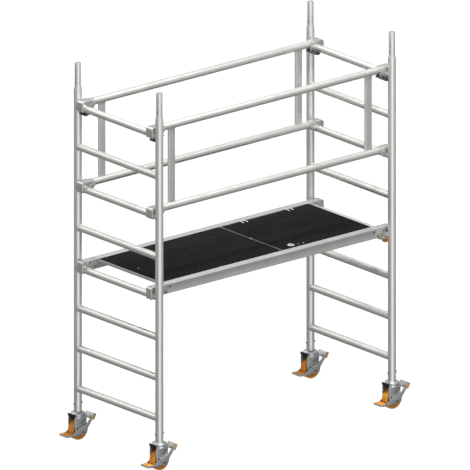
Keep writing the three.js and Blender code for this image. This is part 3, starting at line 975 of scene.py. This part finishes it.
class SCAFFOLD_OT_boards(BuildStep, bpy.types.Operator):
    """Model the fixed board, the hatch, the seam strip and the screws"""

    bl_idname = "scaffold.boards"
    bl_label = "Boards"

    def execute(self, context):
        fixed = box(BOARD_LOW, BOARD_HIGH, 0.0008)
        deliver(fixed, "fixed_board", "board", "root", ["deck_board"])
        top = BOARD_HIGH.z
        lid_low, lid_high = (*HATCH_LOW.xy, BOARD_LOW.z), (*HATCH_HIGH.xy, top)
        lid = box(lid_low, lid_high, 0.0008)
        openings = {place["name"]: place for place in frame["record"]["physics"]["openings"]}
        corners = openings["finger_hole"]["box_m"]
        hole = (Vector(corners[0]) + Vector(corners[1])) / 2
        drill(lid, "z", 0.020, (hole.x, hole.y, top))
        deliver(lid, "hatch_lid", "board", "hatch", ["hatch_board"])
        bottom = BOARD_LOW.z
        sleeve = turn(
            [(0.0166, bottom), (0.0196, bottom), (0.0196, top + 0.0002), (0.0212, top + 0.0002),
             (0.0208, top + 0.0010), (0.0188, top + 0.0014), (0.0168, top + 0.0004)],
            centre=(hole.x, hole.y, 0), steps=ROUND, closed=True,
        )
        deliver(sleeve, "finger_ring", "pale_plastic", "hatch")
        self.seam()
        self.screws(hole)
        return {"FINISHED"}

    def seam(self):
        """The strip that covers the fixed board's edge, with a button in its middle."""
        x, top = BOARD_HIGH.x, BOARD_HIGH.z
        thick = 0.0016
        near, far = BOARD_LOW.y + 0.002, BOARD_HIGH.y - 0.002
        strip = box((x - 0.010, near, top), (x - 0.0005, far, top + thick), 0.0006)
        edge = box((x, near, BOARD_LOW.z + 0.001), (x + thick, far, top + thick), 0.0004)
        deliver(join(strip, edge), "seam_strip", "seam_plastic", "root")
        button = turn(mm((6.5, 0), (6.5, 2.4), (5.2, 3.4), (0, 3.8)),
                      centre=(x - 0.006, 0, top))
        deliver(button, "seam_button", "zinc", "root")

    def screws(self, hole):
        """Countersunk screws that hold the boards down."""
        top = BOARD_HIGH.z
        head = mm((4.8, 0), (4.5, 0.6), (2, 0.7), (1.6, 0.1), (0, 0.1))
        span = BOARD_HIGH.x - BOARD_LOW.x - 0.032
        along = [BOARD_LOW.x + 0.016 + i * span / 4 for i in range(5)]
        rows = [(x, side * 0.275) for x in along for side in (-1, 1)]
        middle_screw = [(along[0] + 0.05, 0.0), (along[0] + 0.047, BOARD_HIGH.y - 0.002)]
        lid = [(hole.x + step, HATCH_LOW.y + 0.035) for step in (0.045, 0.084)]
        groups = (
            ("edge_screws", rows, "root", "dark_steel"),
            ("board_screws", middle_screw, "root", "zinc"),
            ("hatch_screws", lid, "hatch", "zinc"),
        )
        for name, spots, body, finish in groups:
            heads = [turn(head, centre=(x, y, top), steps=16) for x, y in spots]
            deliver(join(*heads), name, finish, body)


class SCAFFOLD_OT_hatch_fittings(BuildStep, bpy.types.Operator):
    """Model the hatch's hinge leaves and lugs, and the bolt under it with its keepers"""

    bl_idname = "scaffold.hatch_fittings"
    bl_label = "Hatch Fittings"

    def execute(self, context):
        axis_y, axis_z = HINGE_AXIS.y, HINGE_AXIS.z
        for number in (1, 2):
            node = f"hatch_hinge_{number}"
            low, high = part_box(node)
            under = BOARD_HIGH.z + 0.0003
            wall = rod(0.0023, 0.0036, 0.0040, low.x, high.x, 0.0004)
            barrel = turn(wall, "x", (0, axis_y, axis_z), closed=True)
            dome = mm((5.2, 0), (5.2, 2), (4, 3), (0, 3.4))
            straps, pads = [], []
            for x in (low.x + 0.0045, high.x - 0.0045):
                strap_end = (x + 0.0032, axis_y - 0.001, under + 0.0032)
                straps.append(box((x - 0.0032, axis_y - 0.030, under), strap_end, 0.0010))
                pads.append(turn(dome, centre=(x, axis_y - 0.029, under)))
            deliver(join(barrel, *straps, *pads), f"hinge_leaf_{number}", "bright_steel", "hatch",
                    [node])
            self.lugs(number, low.x, high.x)
        self.bolt()
        return {"FINISHED"}

    def lugs(self, number, low_x, high_x):
        """The beam's two ears that hold one hinge pin."""
        axis_y, axis_z = HINGE_AXIS.y, HINGE_AXIS.z
        ears = []
        for x in (low_x - 0.0043, high_x + 0.0003):
            side = [(x, axis_y, axis_z - 0.0034), (x, BEAM_INSIDE + 0.001, axis_z - 0.0034),
                    (x, BEAM_INSIDE + 0.001, axis_z + 0.0028), (x, axis_y, axis_z + 0.0034)]
            side += [(x, y, z) for y, z in arc((axis_y, axis_z), 0.0034, 110, 250, 7)]
            ears.append(slab(side, (0.004, 0, 0), rim=0.0003))
        shank = rod(0, 0.0017, 0.0019, low_x - 0.0048, high_x + 0.0048, 0.0004)
        pin = turn(shank, "x", (0, axis_y, axis_z))
        deliver(join(pin, *ears), f"hinge_lugs_{number}", "zinc", "root")

    def bolt(self):
        """The sliding bolt with its knob, and the keepers it runs in."""
        low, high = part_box("hatch_bolt")
        x = (low.x + high.x) / 2
        bar_low = high.z - 0.006
        nose = [(x - 0.0148, low.y + 0.004), (x - 0.0110, low.y), (x + 0.0110, low.y),
                (x + 0.0148, low.y + 0.004), (x + 0.0148, high.y), (x - 0.0148, high.y)]
        bar = slab([(a, b, bar_low) for a, b in nose], (0, 0, 0.006), 0.0008)
        knob = turn([(0, low.z), (0.0036, low.z), (0.0048, low.z + 0.0012), (0.0048, low.z + 0.006),
                     (0.0030, low.z + 0.008), (0.0030, bar_low + 0.001), (0, bar_low + 0.001)],
                    centre=(x, (low.y + high.y) / 2 + 0.010, 0))
        deliver(join(bar, knob), "lid_bolt", "zinc", "bolt", ["hatch_bolt"])
        keepers = []
        bottom = HATCH_LOW.z
        for y in (low.y + 0.006, high.y - 0.014):
            for sign in (-1, 1):
                foot = x + sign * 0.0198
                foot_top = (foot + 0.0042, y + 0.010, BOARD_LOW.z)
                keepers.append(box((foot - 0.0042, y, bottom), foot_top, 0.0008))
            bar_end = (x + 0.024, y + 0.010, bottom + 0.0034)
            keepers.append(box((x - 0.024, y, bottom), bar_end, 0.0008))
        deliver(join(*keepers), "bolt_keepers", "zinc", "hatch")


# ---- Castors, modelled round the stile's axis and copied to the corners ----


def fork_leg():
    """One side of the fork, seen from the side, as (x, height)."""
    return mm(
        (-38, 153.5), (-45.5, 148), (-49, 138), (-50, 120), (-48, 80), (-43, 56), (-32, 43.5),
        (-18, 39), (14, 39), (27, 47), (35, 62), (40, 100), (43, 130), (42.5, 146), (37, 153.5),
    )


def rivet_heads(x, z, face, rise):
    """A rivet head on both sides, at a distance of face from the middle, as proud as rise."""
    dome = [(0.0062, 0), (0.0062, rise * 0.5), (0.0046, rise * 0.9), (0, rise)]
    return both_ends([(radius, face + height) for radius, height in dome], x, z)


class SCAFFOLD_OT_castor_heads(BuildStep, bpy.types.Operator):
    """Model each castor's stem and collar, its fork with the swivel head, and the axle bolt"""

    bl_idname = "scaffold.castor_heads"
    bl_label = "Castor Heads"

    def execute(self, context):
        neck = 0.012
        spigot = context.scene.scaffold_sizes.spigot
        stem = turn([
            (0, CROWN_LOW - 0.005), (0.015, CROWN_LOW - 0.005), (0.017, CROWN_LOW - 0.003),
            (0.017, CROWN_LOW - 0.0003), (neck, CROWN_LOW - 0.0003), (neck, CROWN_TOP + 0.0003),
            (0.027, CROWN_TOP + 0.0003), (0.0295, CROWN_TOP + 0.0015), (0.030, FOOT - 0.003),
            (0.0275, FOOT - 0.0003), (spigot, FOOT - 0.0003), (spigot, PIN_Z + 0.05),
            (spigot - 0.004, PIN_Z + 0.054), (0, PIN_Z + 0.054),
        ], steps=ROUND)
        deliver_copies(stem, CASTOR_PLACES, "stem_*", "zinc", "root", "castor_stem_*")
        deliver_copies(self.fork(), CASTOR_PLACES, "fork_*", "zinc", "fork_*",
                       "castor_fork_*")
        # A black sheet inside each fork is painted shade from the fork's shadowed inside.
        deliver_copies(self.liner(), CASTOR_PLACES, "fork_liner_*", "painted_shade_black", "fork_*")
        # A darker zinc band on each leg is painted shadow from the gap under the head.
        deliver_copies(
            self.painted_shadow_band(), CASTOR_PLACES, "fork_mark_*", "dark_zinc", "fork_*",
        )
        # The stud's brown is painted shade: it stands for a hole with the shaded orange tyre behind
        # it.
        stud = rivet_heads(-0.0310, 0.0785, FORK_OUTSIDE, 0.0006)
        deliver_copies(stud, CASTOR_PLACES, "fork_stud_*", "painted_hole_shade", "fork_*")
        deliver_copies(self.axle(), CASTOR_PLACES, "axle_bolt_*", "zinc", "fork_*",
                       "castor_axle_*")
        return {"FINISHED"}

    def fork(self):
        """Pressed head with its bearing ring, and the two legs."""
        rim = CROWN_RADIUS
        crown = turn([
            (0.0123, CROWN_LOW), (rim - 0.002, CROWN_LOW), (rim, CROWN_LOW + 0.002),
            (rim, CROWN_LOW + 0.009), (rim - 0.0018, CROWN_LOW + 0.0105),
            (rim - 0.0018, CROWN_LOW + 0.0125), (rim, CROWN_LOW + 0.014),
            (rim + 0.0015, CROWN_LOW + 0.020), (rim + 0.0018, CROWN_TOP - 0.004),
            (rim + 0.0008, CROWN_TOP - 0.001), (rim - 0.0020, CROWN_TOP + 0.0015),
            (rim - 0.0070, CROWN_TOP + 0.0045), (rim - 0.0095, CROWN_TOP + 0.0052),
            (0.0312, CROWN_TOP + 0.0052), (0.0308, CROWN_TOP + 0.0040), (0.0308, CROWN_TOP),
            (0.0123, CROWN_TOP),
        ], steps=ROUND, closed=True)
        skirt = [(a - 0.0005, b, CROWN_LOW) for a, b in rounded_rectangle(0.0430, 0.0305, 0.008, 7)]
        head = slab(skirt, (0, 0, 0.0155), rim=0.003, segments=3)
        drill(head, "z", 0.020, (0, 0, CROWN_LOW))
        legs = cheek(fork_leg(), FORK_INSIDE, FORK_OUTSIDE, rim=0.0014)
        return join(crown, head, legs)

    def painted_shadow_band(self):
        """A dark band that runs across each leg below the head: a painted shadow of the gap between
        the head and the brake's release arm.
        """
        radius = 0.0066
        rear = arc((0.0020, 0.1080), radius, 110, 290, 9)
        band = rear + arc((0.0290, 0.1240), radius, -70, 110, 9)
        return cheek(band, FORK_OUTSIDE - 0.0002, FORK_OUTSIDE + 0.0006, rim=0.0003)

    def liner(self):
        """A black sheet inside the fork, above the wheel: painted shade where the fork's inside
        lies in shadow.
        """
        inside = FORK_INSIDE - 0.0003
        hood = mm(
            (-40, 137.4), (-40, 160), (-55, 169), (-57.6, 167), (-54, 149), (-52, 147.5),
            (-44.6, 147.5), (-44.6, 134.5), (38, 134.5), (40, 137.4),
        )
        return plate(hood, -inside, inside, rim=0.0007)

    def axle(self):
        """Hexagon bolt head on one side, washer and nut on the other."""
        out = FORK_INSIDE + 0.0092
        centre = (0, 0, AXLE_Z)
        parts = [turn([(0, -out), (0.0049, -out), (0.0049, out), (0, out)], "y", centre)]
        hexagon = arc((0, AXLE_Z), 0.0086, 0, 300, 6)
        washer = mm((5.1, 0), (9.8, 0), (10, 0.3), (10, 0.8), (5.1, 1))
        for side in (-1, 1):
            parts.append(plate(hexagon, side * (out + 0.0006), side * (out + 0.0048), rim=0.0006))
            ring = [(r, side * (out - 0.0004 + h)) for r, h in washer]
            parts.append(turn(ring, "y", centre, closed=True))
        return join(*parts)


class SCAFFOLD_OT_castor_wheels(BuildStep, bpy.types.Operator):
    """Model the castors' tyres and hubs"""

    bl_idname = "scaffold.castor_wheels"
    bl_label = "Castor Wheels"

    def execute(self, context):
        radius = context.scene.scaffold_sizes.wheel
        half, rim = 0.023, 0.0503
        shoulder = 0.0085
        crown = arc((radius - shoulder, half - shoulder), shoulder, 90, 0, 10)
        right = [(rim, half - 0.003), (radius - 0.0100, half - 0.0004), *crown]
        left = [(r, -y) for r, y in reversed(right)]
        tyre = turn([*right, (radius, 0), *left], "y", (0, 0, AXLE_Z), WHEEL_ROUND, closed=True)
        deliver_copies(
            tyre, CASTOR_PLACES, "tyre_*", "tyre", "wheel_*", "castor_tyre_*",
        )
        rim -= 0.0006
        side = [
            (0.0054, 0.0260), (0.0115, 0.0260), (0.0130, 0.0245), (0.0150, 0.0120),
            (0.0190, 0.0080), (0.0380, 0.0080), (0.0430, 0.0130), (0.0450, 0.0190), (rim, 0.0195),
        ]
        hub = turn(mirrored(side), "y", (0, 0, AXLE_Z), WHEEL_ROUND, closed=True)
        spokes = []
        for number in range(6):
            spoke = box((0.014, -0.016, -0.0022), (0.0440, 0.016, 0.0022), 0.001)
            turned = Matrix.Rotation(number * math.tau / 6, 4, "Y")
            spoke.data.transform(Matrix.Translation((0, 0, AXLE_Z)) @ turned)
            spokes.append(spoke)
        deliver_copies(join(hub, *spokes), CASTOR_PLACES, "hub_*", "orange_plastic", "wheel_*",
                       "castor_hub_*")
        return {"FINISHED"}


class SCAFFOLD_OT_castor_brakes(BuildStep, bpy.types.Operator):
    """Model the brake rockers and the orange pads on their pedals"""

    bl_idname = "scaffold.castor_brakes"
    bl_label = "Castor Brakes"

    def execute(self, context):
        inside = FORK_INSIDE + 0.0048
        outside = inside + 0.0038
        side = mm(
            (-114, 38.5), (-114, 47), (-68, 49), (-54, 57), (-36, 68), (-16, 81), (4, 88),
            (26, 90.5), (44, 101), (56, 113), (64.5, 124.5), (77, 119.5), (95.5, 149), (98, 148),
            (85, 113), (60, 82), (47, 66), (43, 56), (34, 44), (18, 34.5), (-30, 33.5), (-80, 34),
            (-100, 36),
        )
        rocker = cheek(side, inside, outside, rim=0.0010)
        drill(rocker, "y", 0.0054, (0, 0, AXLE_Z))
        within = outside - 0.0006
        tray = box((-0.1148, -within, 0.0382), (-0.068, within, 0.0425), 0.0010)
        edge = box((-0.1150, -within, 0.0382), (-0.1110, within, 0.0478), 0.0012)
        arm = mm((76.5, 116.5), (96, 149.8), (100, 148), (80.5, 114.5))
        release = plate(arm, -within, within, rim=0.0008)
        deliver_copies(join(rocker, tray, edge, release), CASTOR_PLACES, "rocker_*", "zinc",
                       "brake_*",
                       "castor_brake_*")
        # The stud's brown is painted shade: it stands for a hole with the shaded orange tyre behind
        # it.
        stud = rivet_heads(0.0120, 0.0490, outside, 0.0025)
        deliver_copies(stud, CASTOR_PLACES, "rocker_stud_*", "painted_hole_shade", "brake_*")
        half = inside - 0.0004
        brake_pad = box((-0.1108, -half, 0.0427), (-0.0685, half, 0.0500), 0.0020, 3)
        ribs = [box((x - 0.0016, -half + 0.004, 0.0490), (x + 0.0016, half - 0.004, 0.0508), 0.0007)
                for x in (-0.102, -0.094, -0.086, -0.078)]
        pad = mm((83.5, 112.5), (89.5, 124), (100, 147.8), (114.5, 140.8), (96.5, 107.5))
        release_pad = plate(pad, -outside - 0.0008, outside + 0.0008, rim=0.0020, segments=3)
        deliver_copies(join(brake_pad, *ribs, release_pad), CASTOR_PLACES, "pedal_pads_*",
                       "orange_plastic", "brake_*")
        return {"FINISHED"}


class SCAFFOLD_OT_lock_pins(BuildStep, bpy.types.Operator):
    """Model the pins that lock the castor stems, and the spring keepers on the stiles"""

    bl_idname = "scaffold.lock_pins"
    bl_label = "Lock Pins"

    def execute(self, context):
        stile = context.scene.scaffold_sizes.stile
        tip, knob = (end.x + STILE_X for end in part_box("lock_pin_front_left"))
        tip += 0.004
        ball = arc((0, knob - 0.0068), 0.0068, -60, 75, 10)
        outline = [(0, tip), (0.0028, tip), (0.0039, tip + 0.0015), (0.0039, stile + 0.0006),
                   (0.0052, stile + 0.0008), (0.0052, stile + 0.0016), *ball, (0, knob)]
        pin = turn(outline, "x", (0, 0, PIN_Z))
        deliver_copies(
            pin, CASTOR_PLACES, "stem_pin_*", "dark_zinc", "pin_*", "lock_pin_*",
        )
        clip = [
            (-stile + 0.0010, PIN_Z - 0.0130), (-stile - 0.0014, PIN_Z - 0.0130),
            (-stile - 0.0024, PIN_Z - 0.0060), (-stile - 0.0095, PIN_Z + 0.0050),
            (-stile - 0.0080, PIN_Z + 0.0066), (-stile - 0.0010, PIN_Z - 0.0010),
            (-stile + 0.0010, PIN_Z - 0.0020),
        ]
        spring = plate(clip, -0.0075, 0.0075, rim=0.0005)
        drill(spring, "x", 0.0046, (-stile, 0, PIN_Z))
        deliver_copies(spring, CASTOR_PLACES, "pin_keeper_*", "zinc", "root")
        return {"FINISHED"}


# ---- Stage ----

CAMERA_AZIMUTH = math.radians(-40.05)
CAMERA_ELEVATION = math.radians(18.30)
CAMERA_SPAN = 2.769
CAMERA_DISTANCE = 9.0
AIM = Vector((0.001, 0.0, 1.1693))


def direction(azimuth, elevation):
    """From the object towards a place round it. Azimuth 0 is in front."""
    flat = math.cos(elevation)
    return Vector((math.sin(azimuth) * flat, -math.cos(azimuth) * flat, math.sin(elevation)))


def studio_world():
    """Pale all round for the camera, and brighter above and in front for reflections."""
    world = bpy.data.worlds.new("studio")
    bpy.context.scene.world = world
    world.use_nodes = True
    tree = world.node_tree
    tree.nodes.clear()
    towards = tree.nodes.new("ShaderNodeTexCoord").outputs["Generated"]
    split = add_node(tree, "ShaderNodeSeparateXYZ", Vector=towards)
    height = tree.nodes.new("ShaderNodeValToRGB")
    ramp = add_node(tree, "ShaderNodeMapRange", Value=split.outputs["Z"])
    ramp.inputs["From Min"].default_value = -1.0
    tree.links.new(ramp.outputs["Result"], height.inputs["Fac"])
    stops = [(0.0, 0.20), (0.20, 0.26), (0.37, 0.33), (0.54, 0.47), (0.66, 0.66), (0.80, 0.78)]
    ramp_points = height.color_ramp.elements
    while len(ramp_points) < len(stops):
        ramp_points.new(0.5)
    for point, (place, value) in zip(ramp_points, stops):
        point.position = place
        point.color = (value, value, value * 0.985, 1)
    panels = [((-24, -17), 7.5, 1.60), ((-168, 46), 10.0, 1.70)]
    total = height.outputs["Color"]
    for (azimuth, elevation), sharpness, brightness in panels:
        facing = tree.nodes.new("ShaderNodeVectorMath")
        facing.operation = "DOT_PRODUCT"
        tree.links.new(towards, facing.inputs[0])
        facing.inputs[1].default_value = direction(math.radians(azimuth), math.radians(elevation))
        ahead = maths(tree, "MAXIMUM", facing.outputs["Value"], 0.0)
        lobe = maths(tree, "POWER", ahead, sharpness)
        total = maths(tree, "ADD", total, maths(tree, "MULTIPLY", lobe, brightness))
    path = tree.nodes.new("ShaderNodeLightPath")
    held_back = maths(tree, "MULTIPLY", path.outputs["Is Diffuse Ray"], -0.5)
    strength = maths(tree, "ADD", held_back, 1.0)
    room = add_node(tree, "ShaderNodeBackground", Color=total, Strength=strength)
    plain = add_node(tree, "ShaderNodeBackground", Color=(1, 1, 1, 1), Strength=1.1)
    mixed = tree.nodes.new("ShaderNodeMixShader")
    sources = (path.outputs["Is Camera Ray"], room.outputs[0], plain.outputs[0])
    for source, socket in zip(sources, mixed.inputs):
        tree.links.new(source, socket)
    output = tree.nodes.new("ShaderNodeOutputWorld")
    tree.links.new(mixed.outputs[0], output.inputs["Surface"])


def studio_floor():
    """A wide white floor that glows a little, as an evenly lit studio floor does."""
    clear_selection()
    bpy.ops.mesh.primitive_circle_add(
        vertices=96, radius=9.0, fill_type="NGON", location=(0, 0, FLOOR_Z - 0.0005)
    )
    floor = bpy.context.active_object
    floor.name = "studio_floor"
    new_finish(
        "floor_paint", Base_Color=(0.20, 0.20, 0.20, 1), Roughness=0.9, Specular_IOR_Level=0.0,
        Emission_Color=(1, 1, 1, 1), Emission_Strength=0.97,
    )
    floor.data.materials.append(bpy.data.materials["floor_paint"])
    floor.visible_glossy = False
    floor.visible_diffuse = False


def area_light(name, azimuth, elevation, distance, size, power):
    """A soft square light aimed at the middle of the object."""
    lamp = bpy.data.lights.new(name, "AREA")
    lamp.shape = "SQUARE"
    lamp.size = size
    lamp.energy = power
    holder = bpy.data.objects.new(name, lamp)
    towards = direction(math.radians(azimuth), math.radians(elevation))
    holder.location = AIM + towards * distance
    holder.rotation_euler = towards.to_track_quat("Z", "Y").to_euler()
    bpy.context.scene.collection.objects.link(holder)


class SCAFFOLD_OT_stage(BuildStep, bpy.types.Operator):
    """Make the floor, the lights, the surroundings and the camera"""

    bl_idname = "scaffold.stage"
    bl_label = "Stage"

    def execute(self, context):
        lens = bpy.data.cameras.new("camera")
        lens.type = "ORTHO"
        lens.ortho_scale = CAMERA_SPAN
        camera = bpy.data.objects.new("camera", lens)
        back = direction(CAMERA_AZIMUTH, CAMERA_ELEVATION)
        camera.location = AIM + back * CAMERA_DISTANCE
        camera.rotation_euler = back.to_track_quat("Z", "Y").to_euler()
        context.scene.collection.objects.link(camera)
        context.scene.camera = camera
        context.scene.view_settings.view_transform = "Standard"
        studio_floor()
        studio_world()
        area_light("overhead_softbox", -3, 69, 6.0, 0.75, 300)
        return {"FINISHED"}


# ---- Panel and registration ----

STEPS = (
    SCAFFOLD_OT_stage,
    SCAFFOLD_OT_finishes,
    SCAFFOLD_OT_end_frames,
    SCAFFOLD_OT_guardrails,
    SCAFFOLD_OT_rail_hooks,
    SCAFFOLD_OT_deck_beams,
    SCAFFOLD_OT_deck_hooks,
    SCAFFOLD_OT_boards,
    SCAFFOLD_OT_hatch_fittings,
    SCAFFOLD_OT_castor_heads,
    SCAFFOLD_OT_castor_wheels,
    SCAFFOLD_OT_castor_brakes,
    SCAFFOLD_OT_lock_pins,
)


class SCAFFOLD_PT_panel(bpy.types.Panel):
    """The scaffold's settings and building steps"""

    bl_idname = "SCAFFOLD_PT_panel"
    bl_label = "Room Scaffold"
    bl_space_type = "VIEW_3D"
    bl_region_type = "UI"
    bl_category = "Scaffold"

    def draw(self, context):
        for group in (context.scene.scaffold_sizes, context.scene.scaffold_colours):
            column = self.layout.column(align=True)
            for setting in group.bl_rna.properties:
                if setting.identifier not in {"rna_type", "name"}:
                    column.prop(group, setting.identifier)
        for step in STEPS:
            self.layout.operator(step.bl_idname)


CLASSES = (ScaffoldSizes, ScaffoldColours, *STEPS, SCAFFOLD_PT_panel)


def register():
    for item in CLASSES:
        bpy.utils.register_class(item)
    bpy.types.Scene.scaffold_sizes = bpy.props.PointerProperty(type=ScaffoldSizes)
    bpy.types.Scene.scaffold_colours = bpy.props.PointerProperty(type=ScaffoldColours)


def unregister():
    del bpy.types.Scene.scaffold_colours
    del bpy.types.Scene.scaffold_sizes
    for item in reversed(CLASSES):
        bpy.utils.unregister_class(item)


def main():
    register()
    for step in STEPS:
        group, name = step.bl_idname.split(".")
        getattr(getattr(bpy.ops, group), name)()


if __name__ == "__main__":
    main()
